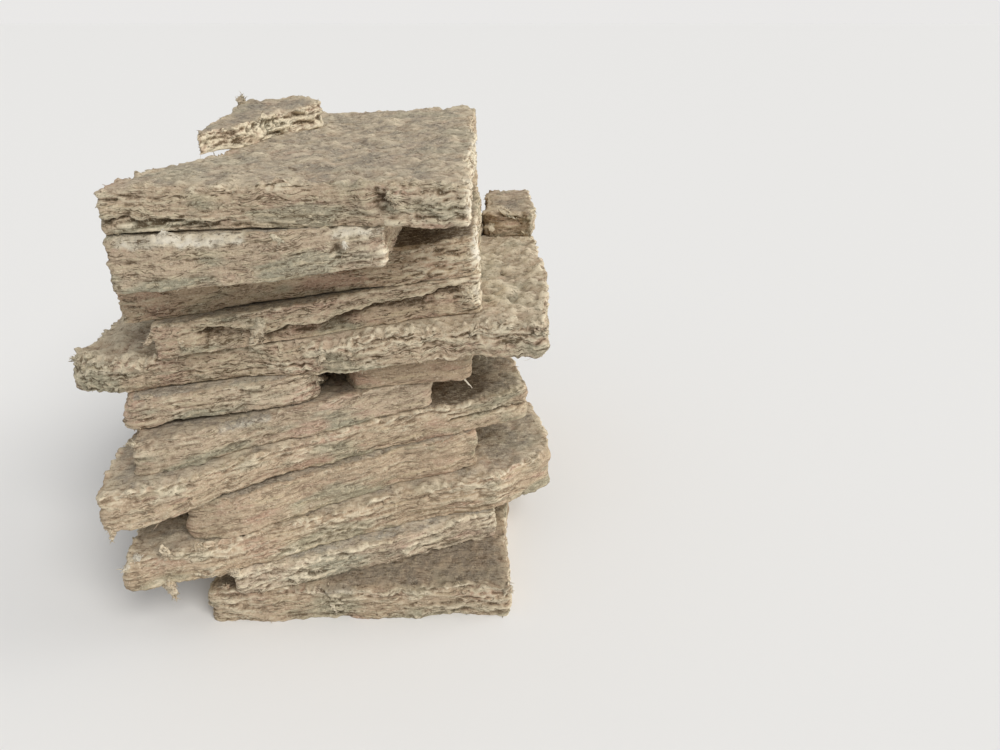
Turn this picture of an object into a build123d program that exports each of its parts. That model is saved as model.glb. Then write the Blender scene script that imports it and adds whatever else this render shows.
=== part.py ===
"""Loose pile of torn mineral wool boards, twelve levels high.

Frame: X to the right, Y away from the viewer, Z up, floor at Z = 0, origin at
the centre of the pile's footprint.  All sizes are in millimetres.

The boards sag and swell, so the joints between them are bent sheets.  Each
board fills the space between two joints and is cut to its own plan outline,
which is given by its front left corner, its width, its depth, the turn of its
front edge, the sideways drift of its back and the wear of its four edges.
"""
import os
from math import cos, hypot, radians, sin

from build123d import *

# ------------------------------------------------------- driving dimensions
LAY_GAP = 0.3          # left in a joint between two boards that lie on each other
STATION = 240.0        # the tilt of a board is the rise of its top over +-STATION
REACH = 480.0          # half length of the bent strip that every board is cut from

# Thickness of each board under the middle of the pile, top board first
THICK_LEAF = 27.0
THICK_01 = 50.0
THICK_02 = 57.0
THICK_03 = 50.0
THICK_04 = 49.0
THICK_05 = 46.0
THICK_06 = 41.0
THICK_07 = 45.0
THICK_08 = 46.0
THICK_09 = 53.0
THICK_10 = 48.0
THICK_11 = 38.0
THICK_12 = 51.0
THICK_REAR = 40.0

# How much thicker each board is at the left and at the right station
SWELL_01 = (2.0, -2.0)
SWELL_02 = (14.0, -23.0)
SWELL_03 = (11.0, 2.0)
SWELL_04 = (-2.0, 2.0)
SWELL_05 = (-2.0, 2.0)
SWELL_06 = (-4.0, 2.0)
SWELL_07 = (-3.0, 2.0)
SWELL_08 = (-4.0, 4.0)
SWELL_09 = (-4.0, 3.0)
SWELL_10 = (-7.0, 9.0)
SWELL_11 = (-8.0, 5.0)
SWELL_12 = (0.0, 0.0)

# Width of each board along its front edge, and depth from front to back
WIDTH_LEAF, DEPTH_LEAF = 260.0, 258.0
WIDTH_01, DEPTH_01 = 417.0, 655.0
WIDTH_02, DEPTH_02 = 320.0, 600.0
WIDTH_03, DEPTH_03 = 456.0, 570.0
WIDTH_04, DEPTH_04 = 418.0, 580.0
WIDTH_05, DEPTH_05 = 640.0, 575.0
WIDTH_06, DEPTH_06 = 447.0, 420.0
DEPTH_06_RIGHT = 525.0    # slab_06 is torn longer at its right end
WIDTH_OFFCUT, DEPTH_OFFCUT = 230.0, 104.0
WIDTH_07, DEPTH_07 = 380.0, 510.0
WIDTH_08, DEPTH_08 = 570.0, 480.0
WIDTH_09, DEPTH_09 = 393.0, 510.0
WIDTH_10, DEPTH_10 = 588.0, 470.0
WIDTH_11, DEPTH_11 = 361.0, 520.0
WIDTH_12, DEPTH_12 = 402.0, 586.0
WIDTH_REAR, DEPTH_REAR = 92.0, 190.0
REAR_INSET = 84.0         # from the right end of slab_05 to the rear offcut

# Forms that show on the faces
CREVICE_HEIGHT = 5.0      # crevice in the left end and front of slab_01
CREVICE_DEPTH = 26.0
LEAF_SPLIT_HEIGHT = 6.0   # open split between the two leaves of slab_04
LEAF_SPLIT_DEPTH = 40.0
END_SPLIT_HEIGHT = 9.0    # wedge split in the right end of slab_08
END_SPLIT_DEPTH = 60.0
LEAF_CURL = 28.0          # rise of the torn leaf towards its back
LEAF_TAPER = 8.0          # how much thinner the torn leaf is at its front
LEAF_FRONT, LEAF_FLAT, LEAF_LIFT, LEAF_BACK = -100.0, -40.0, 80.0, 240.0   # Y along the leaf's curl
LEAF_LEFT = -120.0        # X at which the torn leaf sits on slab_01


# ------------------------------------------------------------------- helpers
def raised(joint, thickness, swell=(0.0, 0.0)):
    """The joint on top of a board: left, middle and right station heights."""
    left, middle, right = joint
    return (left + thickness + swell[0], middle + thickness, right + thickness + swell[1])


def height(joint, x):
    """Height of a joint at x: the parabola through its three station heights."""
    left, middle, right = joint
    t = x / STATION
    return middle + (right - left) / 2 * t + ((left + right) / 2 - middle) * t * t


def worn_edge(start, end, wear):
    """Points from start to end, each pushed out (+) or in (-) by its wear figure."""
    (x0, y0), (x1, y1) = start, end
    run = hypot(x1 - x0, y1 - y0)
    out_x, out_y = (y1 - y0) / run, (x0 - x1) / run
    steps = len(wear) + 1
    points = [start]
    for i, w in enumerate(wear, 1):
        points.append((x0 + (x1 - x0) * i / steps + out_x * w,
                       y0 + (y1 - y0) * i / steps + out_y * w))
    return points


def outline(corner, width, depth, turn, drift=0.0, front=(), right=(), back=(), left=(),
            right_drift=None, right_depth=None):
    """Closed plan outline, anticlockwise from the front left corner."""
    x, y = corner
    front_right = (x + width * cos(radians(turn)), y + width * sin(radians(turn)))
    back_right = (front_right[0] + (drift if right_drift is None else right_drift),
                  front_right[1] + (depth if right_depth is None else right_depth))
    back_left = (x + drift, y + depth)
    return (worn_edge(corner, front_right, front) + worn_edge(front_right, back_right, right)
            + worn_edge(back_right, back_left, back) + worn_edge(back_left, corner, left))


def board(under, over, plan):
    """A board between two joints, cut to its plan outline."""
    stations = (-REACH, -REACH / 2, 0.0, REACH / 2, REACH)
    rest = LAY_GAP if under is not FLOOR else 0.0
    low = [(x, height(under, x) + rest) for x in stations]
    high = [(x, height(over, x)) for x in stations]
    with BuildPart() as part:
        with BuildSketch(Plane.XZ):
            with BuildLine():
                Spline(*low)
                Line(low[-1], high[-1])
                Spline(*reversed(high))
                Line(high[0], low[0])
            make_face()
        extrude(amount=REACH, both=True)
        with BuildSketch(Plane.XY):
            with BuildLine():
                Polyline(*plan, close=True)
            make_face()
        extrude(amount=PILE_HEIGHT, mode=Mode.INTERSECT)
    return part


def wedge(start, end, height_start, height_end, opening, depth, lead=60.0):
    """A wedge along the line start-end that opens outwards and closes at its depth."""
    run = Vector(end[0] - start[0], end[1] - start[1], height_end - height_start)
    inward = Vector(-run.Y, run.X, 0).normalized()
    section = Plane(origin=(start[0], start[1], height_start), x_dir=inward, z_dir=run)
    flare = opening / 2 * (1 + lead / depth)
    with BuildPart() as part:
        with BuildSketch(section):
            with BuildLine():
                Polyline((-lead, -flare), (depth, -0.4), (depth, 0.4), (-lead, flare), close=True)
            make_face()
        extrude(amount=run.length)
    return part


def notched(part, *cutters):
    """A board with the cutters taken out of it."""
    with BuildPart() as cut:
        add(part.part)
        for cutter in cutters:
            add(cutter.part, mode=Mode.SUBTRACT)
    return cut


def level(under, over, share, x):
    """Height inside a board at x, at a share of the way up from its lower joint."""
    return height(under, x) + share * (height(over, x) - height(under, x))


# ----------------------------------------------------- joints, bottom to top
FLOOR = (0.0, 0.0, 0.0)
TOP_12 = raised(FLOOR, THICK_12, SWELL_12)
TOP_11 = raised(TOP_12, THICK_11, SWELL_11)
TOP_10 = raised(TOP_11, THICK_10, SWELL_10)
TOP_09 = raised(TOP_10, THICK_09, SWELL_09)
TOP_08 = raised(TOP_09, THICK_08, SWELL_08)
TOP_07 = raised(TOP_08, THICK_07, SWELL_07)
TOP_06 = raised(TOP_07, THICK_06, SWELL_06)
TOP_05 = raised(TOP_06, THICK_05, SWELL_05)
TOP_04 = raised(TOP_05, THICK_04, SWELL_04)
TOP_03 = raised(TOP_04, THICK_03, SWELL_03)
TOP_02 = raised(TOP_03, THICK_02, SWELL_02)
TOP_01 = raised(TOP_02, THICK_01, SWELL_01)
TOP_LEAF = raised(TOP_01, THICK_LEAF + LEAF_CURL)
TOP_REAR = raised(TOP_05, THICK_REAR)
PILE_HEIGHT = max(TOP_LEAF) + 100.0

# ------------------------------------------------------------- plan outlines
CORNER_05, TURN_05 = (-331, -174), -6.2
END_05 = CORNER_05[0] + WIDTH_05 * cos(radians(TURN_05))     # right end of slab_05
plan = {
    "slab_12": outline((-141, -324), WIDTH_12, DEPTH_12, 1.0, -12,
                       (2, -3, 1, 2, -6), (-4, 5, -3), (6, -5, 4), (4, -4)),
    "slab_11": outline((-98, -334), WIDTH_11, DEPTH_11, 20.0, -70,
                       (6, 8, 5, 3), (-5, 4), (7, -6), (-4, 5)),
    "slab_10": outline((-224, -357), WIDTH_10, DEPTH_10, 21.5, -80,
                       (12, 16, 10, 12, 27), (8, -6, 5), (8, -9, 6), (6, -5, 4)),
    "slab_09": outline((-153, -308), WIDTH_09, DEPTH_09, 20.0, -85,
                       (16, 13, 3, 4, -3, 0), (-6, 4), (5, -7), (-4, 8, 12, 10)),
    "slab_08": outline((-243, -344), WIDTH_08, DEPTH_08, 21.5, -80,
                       (11, -2, -8, -7, 4), (-5, 7, -6), (-8, 6), (5, -6, 7)),
    "slab_07": outline((-211, -297), WIDTH_07, DEPTH_07, 17.7, -60,
                       (4, -3, 3, -2), (5, -4), (6, -5), (-5, 6)),
    "front_offcut": outline((-231, -249), WIDTH_OFFCUT, DEPTH_OFFCUT, 6.2, 6,
                            (5, -2, 4), (12, -10, 8, -5), (4, -3), (4, 22, 12)),
    "slab_06": outline((-226, -88), WIDTH_06, DEPTH_06, -14.0, -12,
                       (-16, -38, -56, 42, 22), (5, -4), (8, -6, 5), (-5, 12),
                       right_depth=DEPTH_06_RIGHT),
    "slab_05": outline(CORNER_05, WIDTH_05, DEPTH_05, TURN_05, 4,
                       (32, 22, 14, 18, 1, -9), (9, 4, -12), (-9, 8, -5), (-6, 5)),
    "slab_04": outline((-192, -230), WIDTH_04, DEPTH_04, 5.5, -20,
                       (7, 8, 3, -4), (-3, 4), (7, -5), (5, -6)),
    "slab_03": outline((-236, -206), WIDTH_03, DEPTH_03, 2.4, -18,
                       (7, 2, 4, 1, 5), (4, -3), (-6, 5), (-4, 6)),
    "rear_offcut": outline((END_05 - REAR_INSET, 177), WIDTH_REAR, DEPTH_REAR, -28.0, 2,
                           (6, -5), (5, -4), (-5,), ()),
    "slab_02": outline((-202, -272), WIDTH_02, DEPTH_02, 0.4, 10,
                       (2, 1, 5, 8, -3), (-6, 3), (5, -4), (-5, 4)),
    "slab_01": outline((-200, -268), WIDTH_01, DEPTH_01, -3.0, 70,
                       (-4, -3, -12, -20, -10), (-4, 3, -5), (24, 12, -6),
                       (-10, -22, -33, -44, 4), right_drift=-15),
    "torn_top_leaf": outline((-156, -64), WIDTH_LEAF, DEPTH_LEAF, 64.0, -9,
                             (-3, 13, 6, -12, -14, -7), (5,), (10, -8), (4, -5, 6),
                             right_drift=-15, right_depth=42),
}
every_x = [x for points in plan.values() for x, y in points]
every_y = [y for points in plan.values() for x, y in points]
CENTRE_X = (min(every_x) + max(every_x)) / 2
CENTRE_Y = (min(every_y) + max(every_y)) / 2


def placed(part):
    """The piece moved so that the pile's footprint is centred on the origin."""
    with BuildPart() as moved:
        with Locations((-CENTRE_X, -CENTRE_Y, 0)):
            add(part.part)
    return moved


# -------------------------------------------------------------------- boards
slab_12 = board(FLOOR, TOP_12, plan["slab_12"])
slab_11 = board(TOP_12, TOP_11, plan["slab_11"])
slab_10 = board(TOP_11, TOP_10, plan["slab_10"])
slab_09 = board(TOP_10, TOP_09, plan["slab_09"])
slab_08 = board(TOP_09, TOP_08, plan["slab_08"])
slab_07 = board(TOP_08, TOP_07, plan["slab_07"])
front_offcut = board(TOP_07, TOP_06, plan["front_offcut"])
slab_06 = board(TOP_07, TOP_06, plan["slab_06"])
slab_05 = board(TOP_06, TOP_05, plan["slab_05"])
slab_04 = board(TOP_05, TOP_04, plan["slab_04"])
slab_03 = board(TOP_04, TOP_03, plan["slab_03"])
rear_offcut = board(TOP_05, TOP_REAR, plan["rear_offcut"])
slab_02 = board(TOP_03, TOP_02, plan["slab_02"])
slab_01 = board(TOP_02, TOP_01, plan["slab_01"])
torn_top_leaf = board(TOP_01, TOP_LEAF, plan["torn_top_leaf"])

# ------------------------------------------------------------ splits and curl
# The front of slab_04 has opened into two leaves, the upper one thinner at the right.
split_left, split_right = (-152, -228), (240, -186)
slab_04 = notched(slab_04, wedge(
    split_left, split_right, level(TOP_05, TOP_04, 0.60, split_left[0]),
    level(TOP_05, TOP_04, 0.78, split_right[0]), LEAF_SPLIT_HEIGHT, LEAF_SPLIT_DEPTH))

# The right end of slab_08 is split along its length.
split_front, split_back = (300, -190), (262, 90)
slab_08 = notched(slab_08, wedge(
    split_front, split_back, level(TOP_09, TOP_08, 0.48, split_front[0]),
    level(TOP_09, TOP_08, 0.55, split_back[0]), END_SPLIT_HEIGHT, END_SPLIT_DEPTH))

# A crevice runs along the front of slab_01 at the left and round its left end.
crevice_end, crevice_corner, crevice_back = (-40, -274), (-206, -268), (-200, -130)
slab_01 = notched(
    slab_01,
    wedge(crevice_corner, crevice_end, level(TOP_02, TOP_01, 0.40, crevice_corner[0]),
          level(TOP_02, TOP_01, 0.34, crevice_end[0]), CREVICE_HEIGHT, CREVICE_DEPTH),
    wedge(crevice_back, crevice_corner, level(TOP_02, TOP_01, 0.45, crevice_back[0]),
          level(TOP_02, TOP_01, 0.40, crevice_corner[0]), CREVICE_HEIGHT, CREVICE_DEPTH))

# The torn leaf is thin at its front and curls up towards its back.
leaf_top = height(TOP_01, LEAF_LEFT) + THICK_LEAF
leaf_tip = leaf_top + LEAF_CURL
with BuildPart() as curled_leaf:
    add(torn_top_leaf.part)
    with BuildSketch(Plane.YZ):
        with BuildLine():
            Spline((LEAF_FRONT, leaf_top - LEAF_TAPER), (LEAF_FLAT, leaf_top),
                   (LEAF_LIFT, leaf_top + 0.25 * LEAF_CURL), (LEAF_BACK, leaf_tip))
            Polyline((LEAF_BACK, leaf_tip), (LEAF_BACK, 0), (LEAF_FRONT, 0),
                     (LEAF_FRONT, leaf_top - LEAF_TAPER))
        make_face()
    extrude(amount=REACH, both=True, mode=Mode.INTERSECT)
torn_top_leaf = curled_leaf

os.makedirs("parts", exist_ok=True)
export_step(placed(slab_12).part, "parts/slab_12.step")
export_step(placed(slab_11).part, "parts/slab_11.step")
export_step(placed(slab_10).part, "parts/slab_10.step")
export_step(placed(slab_09).part, "parts/slab_09.step")
export_step(placed(slab_08).part, "parts/slab_08.step")
export_step(placed(slab_07).part, "parts/slab_07.step")
export_step(placed(front_offcut).part, "parts/front_offcut.step")
export_step(placed(slab_06).part, "parts/slab_06.step")
export_step(placed(slab_05).part, "parts/slab_05.step")
export_step(placed(slab_04).part, "parts/slab_04.step")
export_step(placed(slab_03).part, "parts/slab_03.step")
export_step(placed(rear_offcut).part, "parts/rear_offcut.step")
export_step(placed(slab_02).part, "parts/slab_02.step")
export_step(placed(slab_01).part, "parts/slab_01.step")
export_step(placed(torn_top_leaf).part, "parts/torn_top_leaf.step")
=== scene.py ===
from collections import namedtuple
from math import radians

import bmesh
import bpy
import numpy as np
from bpy.props import FloatProperty, FloatVectorProperty, IntProperty, PointerProperty
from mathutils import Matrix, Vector
from mathutils.geometry import delaunay_2d_cdt


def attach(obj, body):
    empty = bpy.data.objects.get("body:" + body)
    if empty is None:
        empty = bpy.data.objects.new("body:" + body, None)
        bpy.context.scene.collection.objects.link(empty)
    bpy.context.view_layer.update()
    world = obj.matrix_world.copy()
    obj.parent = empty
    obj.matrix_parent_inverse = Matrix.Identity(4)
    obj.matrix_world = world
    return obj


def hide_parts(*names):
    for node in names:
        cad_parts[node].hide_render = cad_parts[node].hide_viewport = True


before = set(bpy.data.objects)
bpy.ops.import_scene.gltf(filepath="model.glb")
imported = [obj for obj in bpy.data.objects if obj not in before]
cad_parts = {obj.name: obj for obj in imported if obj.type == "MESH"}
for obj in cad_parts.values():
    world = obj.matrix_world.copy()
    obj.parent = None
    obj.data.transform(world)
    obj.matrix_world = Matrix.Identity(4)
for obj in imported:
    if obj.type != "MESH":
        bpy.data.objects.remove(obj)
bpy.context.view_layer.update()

bl_info = {
    "name": "Mineral Wool Board Pile",
    "version": (1, 0, 0),
    "blender": (4, 5, 0),
    "location": "View3D > Sidebar > Wool Pile",
    "description": "Dresses a pile of torn mineral wool boards and sets up its studio",
    "category": "Object",
}

MM = 0.001
FLOOR_GAP = 0.3 * MM   # the lowest that loose wool hangs
FLAKE_SEED = 500       # keeps the flakes' random draws apart from the noise
WELD = 0.02 * MM       # corners of a CAD node that lie nearer than this are one
COVER = 12 * MM        # how far under another board a face has to be to get wide cells
EVEN_ROW = 0.87        # rows this share of a cell apart give nearly even triangles
JITTER = 0.16          # how far noise moves the points of a top, as a share of a cell
STRANDS = 0.10         # share of the flakes that are long and thin
# Mesh rows of a ledge, as shares of its width inwards from the arris.
TOP_LEDGE, UNDER_LEDGE = (0.07, 0.16, 0.27, 0.41, 0.60, 0.80, 1.0), (0.35, 1.0)


# ------------------------------------------------------------------ settings
def length(name, size, description):
    """A length setting; its size is given in mm."""
    return FloatProperty(name=name, description=description, default=size * MM, unit="LENGTH")


def colour(name, screen, description):
    """A colour setting, given as 0-255 screen values and kept as Blender's linear colour."""
    linear = [c / 12.92 if c <= 0.04045 else ((c + 0.055) / 1.055) ** 2.4
              for c in (value / 255 for value in screen)]
    return FloatVectorProperty(name=name, description=description, default=linear, size=3,
                               subtype="COLOR")


class WoolPileShape(bpy.types.PropertyGroup):
    """Sizes of the relief that makes the boards look torn and layered."""
    column_front: length("Front columns", 2.0, "Width of a mesh column on the front faces")
    column_side: length("Side columns", 3.4, "Width of a mesh column on the side faces")
    column_back: length("Back columns", 5.0, "Width of a mesh column on the back faces")
    row: length("Rows", 1.55, "Height of a mesh row on the cut faces")
    top_cell: length("Top cells", 4.1, "Mesh size where a top shows")
    hidden_cell: length("Hidden cells", 26, "Mesh size where another board covers the face")
    upper_arris: length("Upper arris", 3.4, "Mean radius of the crushed upper edges")
    lower_arris: length("Lower arris", 2.8, "Mean radius of the lower edges")
    waviness: length("Waviness", 3.2, "Slow in and out of the outline")
    scoop_depth: length("Scoops", 3.4, "Shallow hollows and swells of a cut face")
    fibre_depth: length("Fibre relief", 1.5, "Relief of the matted fibre layers")
    layer_step: length("Layer steps", 4.0, "How far some layers stand out past others")
    ledge: length("Ledge", 14, "Band of a top along its arris that follows the worn edge")
    bite_depth: length("Bites", 4.5, "Depth of the crumbs missing from the edges")
    crack_depth: length("Crack depth", 3.2, "Depth of the short cracks between layers")
    lump_depth: length("Lump depth", 3.6, "Relief of torn, lumpy places")
    step_depth: length("Torn steps", 2.7, "Height of the steps where layers are torn off")
    top_depth: length("Top relief", 2.6, "Relief of tops that show")
    flakes: IntProperty(name="Flakes", default=240, min=0,
                        description="Frayed flakes for each metre of outline")
    flake_length: length("Flake length", 3.5, "Mean length of a frayed flake")


class WoolPileColours(bpy.types.PropertyGroup):
    """Colours of the wool."""
    tan: colour("Tan", (192, 173, 151), "Main colour of the cut faces")
    # the light tone also serves as painted highlight on raised places
    light: colour("Light", (208, 194, 165), "Raised fibres")
    warm: colour("Warm", (193, 161, 144), "Pinkish brown patches")
    moss: colour("Moss", (159, 160, 141), "Greenish grey patches")
    skin: colour("Skin Tone", (163, 158, 148), "Smooth grey felt of tops")
    pale: colour("Pale", (225, 213, 188), "Torn, fluffy wool")
    # the crevice tone also serves as painted shade in hollows, creases, gaps and crack recesses
    crevice: colour("Crevice", (92, 76, 56), "Deep cracks")


class WoolPileStage(bpy.types.PropertyGroup):
    """Camera, lights and floor."""
    camera: FloatVectorProperty(name="Camera", description="Place of the camera", size=3,
                                default=(0.2538, -1.1170, 0.749), subtype="TRANSLATION")
    pitch: FloatProperty(name="Pitch", description="Angle of the view below level",
                         default=radians(26.15), subtype="ANGLE")
    lens: FloatProperty(name="Lens", description="Focal length in mm", default=27.0)
    floor: FloatVectorProperty(name="Floor", description="Colour of the floor", size=3,
                               default=(0.82, 0.81, 0.80), subtype="COLOR")
    sun: FloatProperty(name="Key light", description="Strength of the key light", default=1.92)
    edge: FloatProperty(name="Edge light", default=1.8,
                        description="Strength of the low light on the right ends")
    sun_angle: FloatProperty(name="Key softness", default=radians(32), subtype="ANGLE",
                             description="Width of the key light as seen from the pile")
    world: FloatProperty(name="World", description="Strength of the sky light", default=0.50)


# ------------------------------------------------------- the boards by name
# Board: nodes that cover its top, nodes that carry it, a seed, how torn the cut faces are,
# how crumbly the upper arris is, how torn the top is, how brown the wool is, how much painted
# shade darkens the faces that look up, and how calm the colours of the cut faces are.
Board = namedtuple("Board", "above below seed torn crumbly top_torn brown dust calm")
BOARDS = {name: Board(*values) for name, values in {
    "torn_top_leaf": ((), ("slab_01",), 11, 1.0, 0.8, 0.45, 0.15, 0.55, 0.0),
    "slab_01": (("torn_top_leaf",), ("slab_02",), 12, 0.22, 0.8, 0.75, 0.35, 0.4, 0.0),
    "slab_02": (("slab_01",), ("slab_03",), 13, 0.05, 0.3, 0.2, 0.2, 0.2, 0.15),
    "slab_03": (("slab_02",), ("slab_04",), 14, 0.15, 0.5, 0.3, 0.7, 0.2, 0.05),
    "slab_04": (("slab_03",), ("slab_05",), 15, 0.20, 0.6, 0.3, 0.4, 0.2, 0.0),
    "slab_05": (("slab_04", "rear_offcut"), ("slab_06", "front_offcut"), 16, 0.42, 0.9, 1.25, 0.4,
        0.3, 0.0),
    "rear_offcut": ((), ("slab_05",), 17, 0.4, 0.8, 0.6, 0.4, 0.5, 0.3),
    "front_offcut": (("slab_05",), ("slab_07",), 18, 0.25, 0.4, 0.3, 0.25, 0.2, 0.15),
    "slab_06": (("slab_05",), ("slab_07",), 19, 0.05, 0.2, 0.3, 0.6, 0.2, 0.6),
    "slab_07": (("slab_06", "front_offcut"), ("slab_08",), 20, 0.15, 0.6, 0.5, 0.2, 0.6, 0.45),
    "slab_08": (("slab_07",), ("slab_09",), 21, 0.22, 1.0, 0.4, 0.5, 0.25, 0.4),
    "slab_09": (("slab_08",), ("slab_10",), 22, 0.08, 0.3, 0.3, 0.5, 0.2, 0.6),
    "slab_10": (("slab_09",), ("slab_11",), 23, 0.25, 1.0, 0.5, 0.6, 0.25, 0.45),
    "slab_11": (("slab_10",), ("slab_12",), 24, 0.45, 0.6, 0.4, 0.0, 0.2, 0.2),
    "slab_12": (("slab_11",), (), 25, 0.40, 0.9, 0.35, 0.5, 0.9, 0.25),
}.items()}


def rows_of(kind, table):
    """The table with each of its rows named as that kind."""
    return {name: [kind(*row) for row in rows] for name, rows in table.items()}


# Mark: torn wool round a place in a cut face, with its reach and how far it is pushed out, in mm.
Mark = namedtuple("Mark", "at reach push")
MARKS = rows_of(Mark, {
    "slab_01": [((122, -292, 559), (10, 12, 12), -12), ((141, -294, 561), (10, 12, 12), 7),
        ((191, -305, 565), (34, 20, 22), 0), ((-174, -295, 562), (40, 20, 12), 0),
        ((-110, -300, 530), (90, 20, 8), -1)],
    "slab_02": [((78, -296, 507), (6, 12, 8), 5), ((67, -296, 497), (7, 12, 13), -6),
        ((93, -297, 488), (24, 12, 14), -2)],
    "slab_03": [((186, -220, 470), (26, 14, 26), -2), ((175, -221, 450), (30, 14, 14), 0)],
    "slab_04": [((-169, -257, 405), (24, 20, 16), 0), ((216, -219, 415), (14, 14, 16), 3)],
    "slab_05": [((127, -245, 372), (70, 24, 16), 0), ((216, -240, 380), (50, 24, 18), 2),
        ((279, -261, 385), (40, 30, 24), 0), ((263, -261, 372), (16, 20, 9), -6),
        ((-325, -205, 330), (12, 26, 8), 0)],
    "front_offcut": [((-59, -270, 292), (40, 14, 10), 0), ((1, -255, 305), (16, 20, 18), 0)],
    "slab_07": [((-204, -320, 248), (16, 16, 12), 0), ((-185, -317, 262), (10, 14, 9), -7),
        ((46, -275, 280), (40, 14, 8), 0)],
    "slab_08": [((-59, -305, 222), (70, 20, 9), 1), ((61, -265, 235), (60, 20, 9), 0)],
    "slab_10": [((-119, -355, 124), (60, 24, 12), 1), ((61, -295, 130), (110, 24, 16), 0),
        ((231, -235, 130), (50, 24, 22), 0)],
    "slab_11": [((-84, -360, 80), (16, 20, 18), 0), ((21, -335, 66), (60, 20, 10), 0)],
    "slab_12": [((251, -335, 30), (34, 20, 30), 1), ((119, -339, 38), (9, 12, 9), -7),
        ((61, -341, 42), (60, 16, 10), 0), ((-99, -341, 30), (26, 20, 26), 0)],
})

# Pale places: like marks, with how pale the wool is there instead of a push. Most are bleached
# wool; the strips on the right ends of slab_01, slab_03 and slab_04 are painted highlight where
# light falls on those ends.
PALE_AND_LIT = rows_of(Mark, {
    "slab_01": [((222, -290, 560), (9, 60, 40), 1.9), ((217, -20, 565), (14, 260, 45), 1.7),
        ((-150, -298, 530), (34, 20, 5), 1.3)],
    "slab_02": [((121, -296, 495), (8, 16, 34), 1.7), ((88, -297, 518), (34, 20, 7), 1.3)],
    "slab_03": [((224, -222, 480), (10, 120, 46), 2.1)],
    "slab_04": [((226, -214, 425), (10, 120, 30), 1.7)],
    "slab_05": [((250, -240, 395), (60, 40, 14), 1.3), ((80, -245, 372), (60, 20, 8), 0.9)],
    "slab_10": [((-216, -380, 128), (12, 16, 14), 1.5)],
    "slab_12": [((265, -330, 40), (12, 30, 16), 1.2)],
})

# Calm: like a mark, but the wool is smooth there.
CALM = rows_of(Mark, {
    "slab_02": [((-59, -303, 512), (90, 20, 10), 0)],
    "slab_03": [((-69, -235, 440), (150, 40, 34), 0)],
    "slab_04": [((-59, -250, 368), (70, 24, 12), 0), ((91, -230, 390), (110, 24, 14), 0)],
    "slab_06": [((141, -227, 300), (120, 30, 30), 0)],
    "slab_08": [((201, -195, 215), (60, 30, 12), 0)],
    "slab_09": [((121, -235, 150), (120, 30, 14), 0)],
    "slab_10": [((311, -145, 120), (30, 70, 30), 0)],
})

# Gap shade: painted shade on a top in the dark gap past the end of a board, with how dark it is
# painted there.
GAP_SHADE = rows_of(Mark, {
    "slab_03": [((160, -150, 486), (55, 75, 25), 4.0)],
    "slab_08": [((185, -150, 256), (50, 60, 25), 3.0)],
})

# Crack: a split along a front face. line holds its x and z, opening says how wide it gapes
# and depth how deep it goes. The wool under it stands back by setback and comes out again
# over a band. All of it is in mm.
Crack = namedtuple("Crack", "line opening depth setback band")
CRACKS = rows_of(Crack, {
    "slab_01": [(((-200, 531), (-182, 536), (-161, 540), (-149, 534), (-135, 538),
          (-106, 536), (-78, 533), (-50, 536), (-20, 532)), 2.4, 2.5, 6.0, 16)],
    "slab_03": [(((-30, 446), (30, 452), (90, 458), (150, 470)), 1.6, 3.0, 1.0, 8)],
    "slab_04": [(((-128, 383), (-113, 388), (-98, 390), (-71, 385), (-42, 379), (-8, 387),
          (39, 392), (64, 402), (90, 407), (126, 412), (163, 421), (205, 432)),
         4.0, 5.0, 22.0, 36)],
    "slab_05": [(((-176, 318), (-151, 324), (-130, 323), (-104, 328)), 2.0, 4.0, 1.5, 8)],
    "slab_08": [(((176, 226), (195, 231), (227, 230), (259, 233), (295, 230)), 3.0, 12.0, 3.0, 10),
        (((-238, 181), (-213, 185), (-180, 186)), 1.5, 3.5, 0.8, 6),
        (((-236, 168), (-205, 171), (-165, 174)), 1.5, 3.5, 0.8, 6)],
    "slab_09": [(((24, 179), (87, 177), (140, 174)), 1.4, 3.0, 0.8, 6)],
    "slab_12": [(((2, 49), (18, 42), (38, 31), (52, 16)), 2.5, 5.0, 1.0, 8)],
})

# Fold: the top skin bends down over the front arris between two places in x, in mm, and how
# bleached it is there.
Fold = namedtuple("Fold", "start end radius pale")
FOLDS = rows_of(Fold, {
    "slab_02": [(-185, -30, 12, 1.9), (60, 124, 10, 1.8)],
    "slab_07": [(-110, -40, 8, 0)],
    "slab_12": [(2, 60, 7, 0)],
})

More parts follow.
